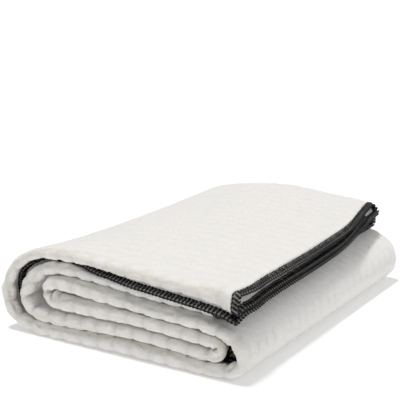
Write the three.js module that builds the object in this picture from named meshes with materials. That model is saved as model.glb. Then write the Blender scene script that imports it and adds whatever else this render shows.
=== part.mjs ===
// Microfiber drying towel, folded: in three along its length, then in half and in three again.
// The cloth is one waffle sheet, and a black overlocked band runs round its four edges.
// X runs along the folded front, Y from the front folds to the back folds, Z up. Millimetres.
import * as THREE from 'three';

// The flat towel and its band
const TOWEL_LENGTH = 900;
const TOWEL_WIDTH = 600;
const CLOTH_THICKNESS = 2.1;
const BAND_WIDTH = 4;
const BAND_THICKNESS = 2.4;
const BAND_SHOULDER = 0.9; // how far the band's rounding reaches in from its two sides
const SEAM_GAP = 0.3;
const BAND_AND_SEAM = BAND_WIDTH + SEAM_GAP;

// The letter fold: three plies, one above the other
const PLY_PITCH = 2.7;
const FOLDED_DEPTH = 210;
const LOOP_PROUD = 0.25; // the top of a fold that lies on its own hem stands this much over the outer ply
const LOOP_MERGE = { onHem: 5, tucked: 2 }; // least length over which a fold narrows to its two plies
const HEM_FLUSH = 3; // a hem set back less than this shows below the front fold
const HEM_TUCKED = 9; // from here on the fold has the whole layer's height to itself
const HEM_CLEARANCE = 1.5; // between the loop's wide part and the hem behind it
const HEM_STEP = 2.4; // length of each of the three short turns of a hem that hangs down
const STEADY_DEPTHS = [28, 75, 132, 165]; // where a ply gets a row of points between its folds

// The folded pile rests on its lowest layer, whose middle ply lies this high
const REST_HEIGHT = PLY_PITCH + CLOTH_THICKNESS / 2;

// The long way of the towel, as a path through the pile seen from the front, from the free end
// that lies on top to the one below it. A row is a layer or a turn, and its columns hold one
// value for each point of the path: x and z, the radius of the front fold, how far the free hem
// is set back, how far the front and back folds are set back, how much the plies are pressed
// together, and how steeply the hem hangs down, in degrees.
const PATH = [
  {
    name: 'top layer, to the left',
    x: [3.4, -14, -60, -85, -115], z: [44.5, 45.1, 48.1, 50.3, 52.5],
    loop: [2.3, 2.3, 2.3, 2.3, 2.6], hem: [1, 0.5, 0.8, 2.3, 7.5],
    front: [1, 1, 1, 0.8, 0.5], back: [1, 0, 0, 0.5, 1],
    squeeze: [1, 1, 1, 1, 1], droop: [16, 25, 21, 17, 1],
  },
  {
    name: 'outer left turn, down',
    x: [-133.5, -148.3, -156.4, -150.2], z: [49.2, 39.5, 22.5, 9.3],
    loop: [2, 2.05, 2.9, 2.9], hem: [9, 6.5, 11, 12],
    front: [0.5, 0.5, 1, 0.5], back: [1, 2, 1, 1],
    squeeze: [0.98, 0.97, 0.97, 0.97], droop: [0, 0, 0, 0],
  },
  {
    name: 'bottom layer, to the right',
    x: [-130, -95, -71, -40, -18], z: [3.75, 3.75, 3.75, 3.75, 3.75],
    loop: [3.05, 3.4, 3.9, 3.5, 2.8], hem: [14, 14, 14, 14, 13],
    front: [0, 0, 0, 0, 0], back: [0, 0.8, 1.5, 0.8, 0],
    squeeze: [1, 1, 1, 1, 1], droop: [0, 0, 0, 0, 0],
  },
  {
    name: 'outer right turn, up',
    x: [1.7, 5.2, 0.7], z: [6.3, 14, 22.3],
    loop: [2.8, 3, 2.8], hem: [12, 12, 12],
    front: [0.5, 1, 0.5], back: [0.5, 1, 0],
    squeeze: [0.97, 0.95, 0.97], droop: [0, 0, 0],
  },
  {
    name: 'fourth layer from the bottom, to the left',
    x: [-15, -33, -61, -90, -120.5], z: [28.3, 29.5, 31, 33.2, 34.4],
    loop: [2.85, 3.1, 2.9, 3.7, 3.6], hem: [15, 15, 15, 15, 15],
    front: [0, 0.5, 0.5, 0.3, 0], back: [1, 2, 2, 2, 1],
    squeeze: [1, 1, 1, 1, 1], droop: [0, 0, 0, 0, 0],
  },
  {
    name: 'innermost left turn, down',
    x: [-124.3, -125.9, -124.3], z: [32.8, 29, 25.3],
    loop: [3, 2.8, 3], hem: [13, 12, 13],
    front: [0.5, 1, 0.5], back: [2, 1, 2],
    squeeze: [0.95, 0.93, 0.95], droop: [0, 0, 0],
  },
  {
    name: 'third layer from the bottom, to the right',
    x: [-120.5, -90, -61, -29, -12.3], z: [23.7, 22.9, 22.8, 20.8, 19.7],
    loop: [4.2, 3.9, 2.75, 3, 2.7], hem: [15, 15, 15, 15, 13],
    front: [0, 0, 0, 0.5, 0.5], back: [0, 1, 1, 1, 2],
    squeeze: [1, 1, 1, 1, 0.93], droop: [0, 0, 0, 0, 0],
  },
  {
    name: 'inner right turn, down',
    x: [-9.1, -7.8, -9.1], z: [19, 15.9, 12.8],
    loop: [2.7, 2.6, 2.7], hem: [11, 11, 11],
    front: [1, 1.5, 1], back: [1, 2, 1],
    squeeze: [0.87, 0.86, 0.87], droop: [0, 0, 0],
  },
  {
    name: 'second layer from the bottom, to the left',
    x: [-12.3, -61, -90, -122], z: [11.8, 14.4, 13.5, 12.6],
    loop: [2.8, 3, 3, 2.9], hem: [13, 14, 14, 13],
    front: [0.5, 0, 0, 0], back: [0, 1, 0.5, 0],
    squeeze: [0.93, 1, 1, 1], droop: [0, 0, 0, 0],
  },
  {
    name: 'middle left turn, up',
    x: [-138, -142.8, -137], z: [14.9, 22.9, 34.8],
    loop: [3, 3.1, 3], hem: [11, 10, 10],
    front: [0.5, 1, 1], back: [1, 2, 0],
    squeeze: [0.97, 0.97, 0.97], droop: [0, 0, 0],
  },
  {
    name: 'fifth layer from the bottom, to the right',
    x: [-122, -90, -61, -28, -14, -4, 12], z: [43.2, 42.1, 39.1, 37.45, 36.4, 34.8, 31.5],
    loop: [2.8, 2.35, 2.2, 2.2, 2.1, 2.1, 2.1], hem: [10, 11, 11, 12, 12, 12, 12],
    front: [1, 3.3, 3.8, 4.2, 4.2, 4.2, 4.2], back: [1, 0.5, 0, 0, 0, 0, 0],
    squeeze: [1, 1, 1, 1, 1, 1, 1], droop: [0, 0, 0, 0, 0, 0, 0],
  },
];
const COLUMNS = ['loop', 'hem', 'front', 'back', 'squeeze', 'droop'];

// How the pile has settled, from the front folds backwards
const SETTLING_DEPTH = 55;
const LEFT_SINK = 0.11; // share of the height that the left half loses behind its puffy front
const RIGHT_RISE = 0.07; // and that the right half gains
const LEFT_DRAW = 6; // how far the left turns draw in behind the front corner
const LEFT_STARTS = 55; // the left half begins here, and is fully itself this much further on
const LEFT_SPAN = 75;

// The free end on top: it hangs down at the front, where its upper ply gapes, and its far corner
// swings in, the upper ply further than the lower one
const END_LENGTH = 17;
const END_LIFT = 6.8;
const END_LIFT_KEPT = 0.42; // share of the lift that is left well behind the front fold
const END_LIFT_DEPTH = 30;
const END_LIFT_CLOSES = [128, 168]; // between these depths the gape closes
const END_DROP = 5;
const END_DROP_LENGTH = 9.5;
const END_DROP_DEPTHS = [122, 168];
const END_SAG = 0.5; // how much further the lowest ply hangs
const END_SAG_DEPTHS = [165, 200];
const END_SWING = { lower: 10, upper: 15 };
const END_SWING_DEPTHS = [130, 225];
const END_SWING_LENGTH = 150;
// where the end's edge bulges out, or in where `out` is negative
const END_BULGES = [{ depth: 20, reach: 10, out: 1.3 }, { depth: 125, reach: 20, out: -1.3 }];

// The origin is at the middle of the pile's footprint, measured from the table's own zero
const FOOTPRINT_CENTRE = { x: -75.4, y: 105.075 };

// How finely the solids follow the folds
const SAMPLE_STEP = 0.75;
const SMOOTHING_PASSES = 12;
const STATION_TURN = THREE.MathUtils.degToRad(24);
const STATION_SPACING = 26;
const END_STATION_SPACING = 7;
const ARC_STEPS = 4;

const { lerp, smoothstep, clamp, degToRad } = THREE.MathUtils;

// The path as a dense polyline. Each sample carries its place, its distance along the towel,
// its right-hand normal and the columns of the table.
function tracePath() {
  const knots = PATH.flatMap((row) => row.x.map((x, i) => ({
    x, z: row.z[i], ...Object.fromEntries(COLUMNS.map((name) => [name, row[name][i]])),
  })));
  const curve = new THREE.CatmullRomCurve3(knots.map((k) => new THREE.Vector3(k.x, 0, k.z)));
  const spans = knots.length - 1;
  const samples = [];
  for (let span = 0; span < spans; span += 1) {
    const [from, to] = [knots[span], knots[span + 1]];
    const count = Math.ceil(Math.hypot(to.x - from.x, to.z - from.z) / SAMPLE_STEP);
    for (let i = 0; i <= (span === spans - 1 ? count : count - 1); i += 1) {
      const blend = smoothstep(i / count, 0, 1);
      const sample = { point: curve.getPoint((span + i / count) / spans) };
      for (const name of COLUMNS) sample[name] = lerp(from[name], to[name], blend);
      samples.push(sample);
    }
  }
  for (let pass = 0; pass < SMOOTHING_PASSES; pass += 1) {
    const old = samples.map((sample) => sample.point.clone());
    for (let i = 1; i < old.length - 1; i += 1) {
      const middle = old[i - 1].clone().add(old[i + 1]).multiplyScalar(0.5);
      samples[i].point.lerp(middle, 0.5);
    }
  }
  samples[0].along = 0;
  samples.forEach((sample, i) => {
    sample.point.z = Math.max(sample.point.z, REST_HEIGHT);
    if (i > 0) sample.along = samples[i - 1].along + sample.point.distanceTo(samples[i - 1].point);
  });
  samples.forEach((sample, i) => {
    const before = samples[Math.max(i - 1, 0)].point;
    const after = samples[Math.min(i + 1, samples.length - 1)].point;
    const tangent = after.clone().sub(before).normalize();
    sample.normal = new THREE.Vector3(tangent.z, 0, -tangent.x);
  });
  return samples;
}

const samples = tracePath();

// Everything about the path at a distance along the towel.
function stationAt(along) {
  let i = samples.findIndex((sample) => sample.along >= along);
  if (i < 0) i = samples.length - 1;
  i = Math.max(i, 1);
  const [a, b] = [samples[i - 1], samples[i]];
  const f = (along - a.along) / (b.along - a.along);
  const station = {
    along,
    point: a.point.clone().lerp(b.point, f),
    normal: a.normal.clone().lerp(b.normal, f).normalize(),
  };
  for (const name of COLUMNS) station[name] = lerp(a[name], b[name], f);
  return station;
}

// The letter fold across the towel at one station, as points (y, n) down the middle of the
// cloth: y goes back from the front, n out from the middle ply. They start at the hidden hem of
// the middle ply, go round the front fold to the outer ply, round the back fold to the inner
// ply and end at its free hem. The first three and the last three are the band and the seam.
function plySection(station) {
  const tucked = smoothstep(station.hem, HEM_FLUSH, HEM_TUCKED);
  const radius = station.loop;
  const onTable = 1 - smoothstep(station.point.z, REST_HEIGHT, REST_HEIGHT + PLY_PITCH);
  const flush = PLY_PITCH - radius;
  const tuckedCentre = Math.max(0, flush) + onTable * Math.min(0, flush);
  const centre = lerp(flush + LOOP_PROUD, tuckedCentre, tucked);
  const tip = station.front + CLOTH_THICKNESS / 2;
  const leastReach = lerp(LOOP_MERGE.onHem, LOOP_MERGE.tucked, tucked);
  const reach = Math.max(leastReach, station.hem - HEM_CLEARANCE - radius - tip);
  const half = PLY_PITCH / 2;
  const loopSide = (share, side) => {
    const fall = smoothstep(share, 0, 1);
    return [tip + radius + reach * share, lerp(centre, half, fall) + side * lerp(radius, half, fall)];
  };
  const arc = (y, n, r, away) => Array.from({ length: ARC_STEPS + 1 }, (_, i) => {
    const angle = Math.PI * (i / ARC_STEPS - 0.5);
    return [y - away * r * Math.cos(angle), n + away * r * Math.sin(angle)];
  });
  const frontArc = arc(tip + radius, centre, radius, 1);
  const backArc = arc(FOLDED_DEPTH - station.back - CLOTH_THICKNESS / 2 - PLY_PITCH, 0, PLY_PITCH, -1);

  // The free hem, built backwards from its foremost point
  const droop = degToRad(station.droop);
  const turns = [1 / 3, 2 / 3, 1].map((share) => [Math.cos(droop * share), Math.sin(droop * share)]);
  const run = turns.reduce((sum, turn) => sum + HEM_STEP * turn[0], BAND_AND_SEAM * turns[2][0]);
  const hem = [[station.hem + run, -PLY_PITCH]];
  for (const [index, length] of [[0, HEM_STEP], [1, HEM_STEP], [2, HEM_STEP], [2, SEAM_GAP], [2, BAND_WIDTH]]) {
    const [y, n] = hem[hem.length - 1];
    hem.push([y - length * turns[index][0], n - length * turns[index][1]]);
  }

  const points = [
    ...STEADY_DEPTHS.toReversed().map((y) => [y, 0]),
    loopSide(1, -1), loopSide(0.5, -1), ...frontArc, loopSide(0.5, 1), loopSide(1, 1),
    ...STEADY_DEPTHS.map((y) => [y, PLY_PITCH]),
    ...backArc,
    ...STEADY_DEPTHS.toReversed().map((y) => [y, -PLY_PITCH]),
    ...hem,
  ];
  const used = points.slice(1).reduce(
    (sum, [y, n], i) => sum + Math.hypot(y - points[i][0], n - points[i][1]), 0,
  );
  const hiddenHem = STEADY_DEPTHS.at(-1) + TOWEL_WIDTH - used;
  return [[hiddenHem, 0], [hiddenHem - BAND_WIDTH, 0], [hiddenHem - BAND_AND_SEAM, 0], ...points];
}

// One at the free end on top, and less and less over the given length of towel.
const nearEnd = (station, length) => Math.exp(-((station.along / length) ** 1.5));

// The place of one point of the folded towel: its station, its place in the ply section (a
// number of points, with a fraction) and its distance from the middle of the cloth.
function foldedPoint(station, section, index, outward) {
  const i = Math.min(Math.floor(index), section.length - 2);
  const f = index - i;
  const [ya, na] = section[Math.max(f > 0 ? i : i - 1, 0)];
  const [yb, nb] = section[Math.min(i + 1, section.length - 1)];
  const size = Math.hypot(yb - ya, nb - na);
  const y = lerp(section[i][0], section[i + 1][0], f) - outward * (nb - na) / size;
  const middle = lerp(section[i][1], section[i + 1][1], f);
  let n = middle + outward * (yb - ya) / size;

  const upper = clamp(middle / PLY_PITCH, 0, 1);
  const lower = clamp(-middle / PLY_PITCH, 0, 1);
  const level = (middle / PLY_PITCH + 1) / 2;
  const open = lerp(END_LIFT_KEPT, 1, Math.exp(-Math.max(y, 0) / END_LIFT_DEPTH))
    * (1 - smoothstep(y, ...END_LIFT_CLOSES));
  n += END_LIFT * upper * open * nearEnd(station, END_LENGTH);

  const point = station.point.clone().addScaledVector(station.normal, n * station.squeeze);
  point.y = y;
  const left = smoothstep(-point.x, LEFT_STARTS, LEFT_STARTS + LEFT_SPAN);
  const behind = 1 - Math.exp(-Math.max(y, 0) / SETTLING_DEPTH);
  const swing = smoothstep(y, ...END_SWING_DEPTHS) * lerp(END_SWING.lower, END_SWING.upper, level);
  point.z *= 1 + behind * lerp(RIGHT_RISE, -LEFT_SINK, left);
  point.x += LEFT_DRAW * left * behind;
  const bulge = END_BULGES.reduce(
    (sum, { depth, reach, out }) => sum + out * Math.exp(-(((y - depth) / reach) ** 2)), 0,
  );
  point.x += (bulge - swing) * Math.max(1 - station.along / END_SWING_LENGTH, 0);
  const drop = END_DROP * (1 - smoothstep(y, ...END_DROP_DEPTHS));
  const sag = END_SAG * lower * (1 - smoothstep(y, ...END_SAG_DEPTHS));
  point.z -= (drop + sag) * nearEnd(station, END_DROP_LENGTH);
  return point.sub(new THREE.Vector3(FOOTPRINT_CENTRE.x, FOOTPRINT_CENTRE.y, 0));
}

// Distances along the towel between two ends, closer together where the path turns.
function stationsBetween(from, to) {
  const cost = [0];
  for (let i = 1; i < samples.length; i += 1) {
    const length = samples[i].along - samples[i - 1].along;
    const turn = samples[i].normal.angleTo(samples[i - 1].normal);
    const open = samples[i].along < 2 * END_LENGTH ? length / END_STATION_SPACING : 0;
    cost.push(cost[i - 1] + length / STATION_SPACING + turn / STATION_TURN + open);
  }
  const costAt = (along) => {
    const i = Math.max(samples.findIndex((sample) => sample.along >= along), 1);
    const f = (along - samples[i - 1].along) / (samples[i].along - samples[i - 1].along);
    return lerp(cost[i - 1], cost[i], f);
  };
  const [first, last] = [costAt(from), costAt(to)];
  const count = Math.round(last - first);
  return Array.from({ length: count + 1 }, (_, k) => {
    const wanted = lerp(first, last, k / count);
    const i = Math.max(cost.findIndex((value) => value >= wanted), 1);
    const f = (wanted - cost[i - 1]) / (cost[i] - cost[i - 1]);
    return k === 0 ? from : k === count ? to : lerp(samples[i - 1].along, samples[i].along, f);
  });
}

// A closed mesh from rings of equal length: rings[i][j] joins rings[i + 1][j].
function meshFromRings(name, rings, material, closedPath) {
  const width = rings[0].length;
  const positions = rings.flat().flatMap((p) => [p.x, p.y, p.z]);
  const indices = [];
  const ringCount = rings.length;
  for (let i = 0; i < (closedPath ? ringCount : ringCount - 1); i += 1) {
    const next = ((i + 1) % ringCount) * width;
    for (let j = 0; j < width; j += 1) {
      const a = i * width + j;
      const b = i * width + ((j + 1) % width);
      const c = next + ((j + 1) % width);
      const d = next + j;
      indices.push(a, b, c, a, c, d);
    }
  }
  if (!closedPath) {
    const last = (ringCount - 1) * width;
    for (let j = 0; j < width / 2 - 1; j += 1) {
      const [p, q, r, s] = [j, j + 1, width - 2 - j, width - 1 - j];
      indices.push(p, r, q, p, s, r);
      indices.push(last + p, last + q, last + r, last + p, last + r, last + s);
    }
  }
  const geometry = new THREE.BufferGeometry();
  geometry.setAttribute('position', new THREE.Float32BufferAttribute(positions, 3));
  geometry.setIndex(indices);
  geometry.computeVertexNormals();
  const mesh = new THREE.Mesh(geometry, material);
  mesh.name = name;
  return mesh;
}

const clothStations = stationsBetween(BAND_AND_SEAM, TOWEL_LENGTH - BAND_AND_SEAM).map(stationAt);
const sectionLength = plySection(clothStations[0]).length;
const CLOTH_FIRST = 2; // the cloth starts at this point of the section and ends as far from its end
const clothLast = sectionLength - 1 - CLOTH_FIRST;

// The cloth: at each station a ring that goes along its outer face and back along its inner one
function makeCloth() {
  const rings = clothStations.map((station) => {
    const section = plySection(station);
    const ring = [];
    for (let j = CLOTH_FIRST; j <= clothLast; j += 1) {
      ring.push(foldedPoint(station, section, j, CLOTH_THICKNESS / 2));
    }
    for (let j = clothLast; j >= CLOTH_FIRST; j -= 1) {
      ring.push(foldedPoint(station, section, j, -CLOTH_THICKNESS / 2));
    }
    return ring;
  });
  const material = new THREE.MeshStandardMaterial({ color: 0xeeece8, roughness: 0.95, metalness: 0 });
  return meshFromRings('waffle_cloth', rings, material, false);
}

// The overlocked band: a flat six-sided cord of thread round the four edges, mitred at the corners
function makeBand() {
  const half = BAND_THICKNESS / 2;
  const profile = [
    [0, 0], [BAND_SHOULDER, half], [BAND_WIDTH - BAND_SHOULDER, half],
    [BAND_WIDTH, 0], [BAND_WIDTH - BAND_SHOULDER, -half], [BAND_SHOULDER, -half],
  ];
  const last = sectionLength - 1;
  const inner = clothStations.slice(1, -1).map((station) => station.along);
  const across = Array.from({ length: clothLast - CLOTH_FIRST - 1 }, (_, j) => CLOTH_FIRST + 1 + j);
  // Each row is a place on the towel's outline and the way inwards from it, along and across
  const outline = [
    [0, 0, 1, 1],
    ...inner.map((along) => [along, 0, 0, 1]),
    [TOWEL_LENGTH, 0, -1, 1],
    ...across.map((index) => [TOWEL_LENGTH, index, -1, 0]),
    [TOWEL_LENGTH, last, -1, -1],
    ...inner.toReversed().map((along) => [along, last, 0, -1]),
    [0, last, 1, -1],
    ...across.toReversed().map((index) => [0, index, 1, 0]),
  ];
  const rings = outline.map(([along, index, inAlong, inAcross]) => profile.map(([inwards, outward]) => {
    const station = stationAt(along + inAlong * inwards);
    return foldedPoint(station, plySection(station), index + inAcross * inwards / BAND_WIDTH, outward);
  }));
  const material = new THREE.MeshStandardMaterial({ color: 0x0c0c0e, roughness: 0.5, metalness: 0 });
  return meshFromRings('overlocked_band', rings, material, true);
}

const towel = new THREE.Group();
towel.add(makeCloth(), makeBand());

export default towel;
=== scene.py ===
"""A white waffle microfiber drying towel with a black overlocked edge, lying folded on a table.

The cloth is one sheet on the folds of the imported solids: in three along its length, then in half
and in three again. The overlocking is thread laid stitch by stitch along the towel's outline.
Sizes are in millimetres, and become metres when a mesh is made.
"""

import logging
import math
from dataclasses import dataclass, field
from enum import Enum, IntEnum

import bpy
import numpy as np
from mathutils import Matrix, Vector


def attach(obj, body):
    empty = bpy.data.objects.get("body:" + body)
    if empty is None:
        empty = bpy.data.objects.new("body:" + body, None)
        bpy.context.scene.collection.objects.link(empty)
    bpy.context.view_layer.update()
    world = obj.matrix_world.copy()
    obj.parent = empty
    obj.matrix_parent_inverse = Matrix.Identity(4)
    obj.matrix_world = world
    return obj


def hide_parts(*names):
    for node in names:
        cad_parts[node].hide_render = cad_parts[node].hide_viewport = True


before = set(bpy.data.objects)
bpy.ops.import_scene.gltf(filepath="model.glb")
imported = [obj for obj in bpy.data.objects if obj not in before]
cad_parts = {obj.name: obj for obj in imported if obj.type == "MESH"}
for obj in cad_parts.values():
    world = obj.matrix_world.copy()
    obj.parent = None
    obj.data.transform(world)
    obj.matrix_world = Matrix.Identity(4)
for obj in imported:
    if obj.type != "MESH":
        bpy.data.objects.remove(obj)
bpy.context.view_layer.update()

log = logging.getLogger("drying_towel")
MM = 0.001


def smooth_between(value: np.ndarray, low: float, high: float) -> np.ndarray:
    """Zero below low, one above high and a soft curve between.

    Args:
        value: What is compared with the two limits.
        low: Where the curve leaves zero.
        high: Where it reaches one.

    Returns:
        The curve's height at each value.
    """
    share = np.clip((value - low) / (high - low), 0.0, 1.0)
    return share * share * (3.0 - 2.0 * share)


def mix(a: np.ndarray, b: np.ndarray, share: np.ndarray) -> np.ndarray:
    """The value that lies the given share of the way from a to b."""
    return a + (b - a) * share


def linear_colour(hex_code: str) -> tuple[float, float, float, float]:
    """Turn an sRGB hex colour into the linear colour that a shader takes.

    Args:
        hex_code: Six hex digits after a hash sign.

    Returns:
        Linear red, green and blue, and full opacity.
    """
    shares = [int(hex_code[i:i + 2], 16) / 255.0 for i in (1, 3, 5)]
    red, green, blue = (s / 12.92 if s <= 0.04045 else ((s + 0.055) / 1.055) ** 2.4 for s in shares)
    return (red, green, blue, 1.0)


def add_node(
    tree: bpy.types.NodeTree,
    kind: str,
    settings: dict | None = None,
    values: dict | None = None,
    links: dict | None = None,
) -> bpy.types.Node:
    """Add a node with its settings, its unlinked values and its incoming links.

    Args:
        tree: The node tree that takes it.
        kind: Blender's name for the node type.
        settings: The node's own properties.
        values: Input socket, by name or number, to its constant.
        links: Input socket, by name or number, to the output socket that feeds it.

    Returns:
        The new node.
    """
    node = tree.nodes.new(kind)
    for name, value in (settings or {}).items():
        setattr(node, name, value)
    for socket, value in (values or {}).items():
        node.inputs[socket].default_value = value
    for socket, source in (links or {}).items():
        tree.links.new(source, node.inputs[socket])
    return node


class Sight(Enum):
    """How much of a stretch of the folded towel can be seen."""

    OUTER_PLY = "its outer ply and its folds"
    UNDERSIDE = "its folds, and its outer ply from below"
    FOLDS = "its front and back folds alone"


Column = tuple[float, ...] | float


@dataclass(frozen=True)
class Stretch:
    """One layer or turn of the pile.

    A column holds a value for each point of the path, or one value that holds for them all.

    Attributes:
        name: Which layer or turn this is.
        x: Place along the front, from the path's zero.
        z: Height of the middle ply.
        loop: Radius of the front fold.
        hem: How far the free hem is set back from the front.
        front: How far the front fold is set back.
        back: How far the back fold is set in.
        squeeze: How much the plies are pressed together.
        droop: How steeply the free hem hangs down, in degrees.
        sight: How much of it can be seen.
    """

    name: str
    x: tuple[float, ...]
    z: Column
    loop: Column
    hem: Column
    front: Column = 0.0
    back: Column = 0.0
    squeeze: Column = 1.0
    droop: Column = 0.0
    sight: Sight = Sight.FOLDS

    def column(self, name: str) -> np.ndarray:
        """The column's value for each point of the stretch."""
        return np.broadcast_to(np.array(getattr(self, name), float), len(self.x))


# What blends from point to point beside the curve that x and z make
COLUMNS = ("loop", "hem", "front", "back", "squeeze", "droop")

PATH = (
    Stretch(
        "top layer, to the left",
        x=(3.4, -14, -60, -85, -115), z=(44.5, 45.1, 48.1, 50.3, 52.5),
        loop=(2.3, 2.3, 2.3, 2.3, 2.6), hem=(1, 0.5, 0.8, 2.3, 7.5),
        front=(1, 1, 1, 0.8, 0.5), back=(1, 0, 0, 0.5, 1), droop=(16, 25, 21, 17, 1),
        sight=Sight.OUTER_PLY,
    ),
    Stretch(
        "outer left turn, down",
        x=(-133.5, -148.3, -156.4, -150.2), z=(49.2, 39.5, 22.5, 9.3),
        loop=(2, 2.05, 2.9, 2.9), hem=(9, 6.5, 11, 12), front=(0.5, 0.5, 1, 0.5),
        back=(1, 2, 1, 1), squeeze=(0.98, 0.97, 0.97, 0.97), sight=Sight.OUTER_PLY,
    ),
    Stretch(
        "bottom layer, to the right",
        x=(-130, -95, -71, -40, -18), z=3.75, loop=(3.05, 3.4, 3.9, 3.5, 2.8),
        hem=(14, 14, 14, 14, 13), back=(0, 0.8, 1.5, 0.8, 0), sight=Sight.UNDERSIDE,
    ),
    Stretch(
        "outer right turn, up",
        x=(1.7, 5.2, 0.7), z=(6.3, 14, 22.3), loop=(2.8, 3, 2.8), hem=12,
        front=(0.5, 1, 0.5), back=(0.5, 1, 0), squeeze=(0.97, 0.95, 0.97), sight=Sight.OUTER_PLY,
    ),
    Stretch(
        "fourth layer from the bottom, to the left",
        x=(-15, -33, -61, -90, -120.5), z=(28.3, 29.5, 31, 33.2, 34.4),
        loop=(2.85, 3.1, 2.9, 3.7, 3.6), hem=15, front=(0, 0.5, 0.5, 0.3, 0), back=(1, 2, 2, 2, 1),
    ),
    Stretch(
        "innermost left turn, down",
        x=(-124.3, -125.9, -124.3), z=(32.8, 29, 25.3), loop=(3, 2.8, 3), hem=(13, 12, 13),
        front=(0.5, 1, 0.5), back=(2, 1, 2), squeeze=(0.95, 0.93, 0.95),
    ),
    Stretch(
        "third layer from the bottom, to the right",
        x=(-120.5, -90, -61, -29, -12.3), z=(23.7, 22.9, 22.8, 20.8, 19.7),
        loop=(4.2, 3.9, 2.75, 3, 2.7), hem=(15, 15, 15, 15, 13),
        front=(0, 0, 0, 0.5, 0.5), back=(0, 1, 1, 1, 2), squeeze=(1, 1, 1, 1, 0.93),
    ),
    Stretch(
        "inner right turn, down",
        x=(-9.1, -7.8, -9.1), z=(19, 15.9, 12.8), loop=(2.7, 2.6, 2.7), hem=11,
        front=(1, 1.5, 1), back=(1, 2, 1), squeeze=(0.87, 0.86, 0.87),
    ),
    Stretch(
        "second layer from the bottom, to the left",
        x=(-12.3, -61, -90, -122), z=(11.8, 14.4, 13.5, 12.6), loop=(2.8, 3, 3, 2.9),
        hem=(13, 14, 14, 13), front=(0.5, 0, 0, 0), back=(0, 1, 0.5, 0), squeeze=(0.93, 1, 1, 1),
    ),
    Stretch(
        "middle left turn, up",
        x=(-138, -142.8, -137), z=(14.9, 22.9, 34.8), loop=(3, 3.1, 3), hem=(11, 10, 10),
        front=(0.5, 1, 1), back=(1, 2, 0), squeeze=0.97,
    ),
    Stretch(
        "fifth layer from the bottom, to the right",
        x=(-122, -90, -61, -28, -14, -4, 12), z=(43.2, 42.1, 39.1, 37.45, 36.4, 34.8, 31.5),
        loop=(2.8, 2.35, 2.2, 2.2, 2.1, 2.1, 2.1), hem=(10, 11, 11, 12, 12, 12, 12),
        front=(1, 3.3, 3.8, 4.2, 4.2, 4.2, 4.2), back=(1, 0.5, 0, 0, 0, 0, 0),
    ),
)


@dataclass(frozen=True)
class Towel:
    """The flat towel, and how thick and how deep it is folded.

    Attributes:
        length: Its long side, which the path follows.
        width: Its short side, which the letter fold takes up.
        thickness: Thickness of the cloth.
        band_width: How far the overlocking reaches in from the edge.
        ply_pitch: From the middle of one ply to the next.
        folded_depth: Depth of the folded pile from front to back.
        centre: Middle of the pile's footprint, from the path's zero.
    """

    length: float = 900.0
    width: float = 600.0
    thickness: float = 2.1
    band_width: float = 4.0
    ply_pitch: float = 2.7
    folded_depth: float = 210.0
    centre: tuple[float, float] = (-75.4, 105.075)

    @property
    def rest_height(self) -> float:
        """Height of the middle ply of the layer that lies on the table."""
        return self.ply_pitch + self.thickness / 2


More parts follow.
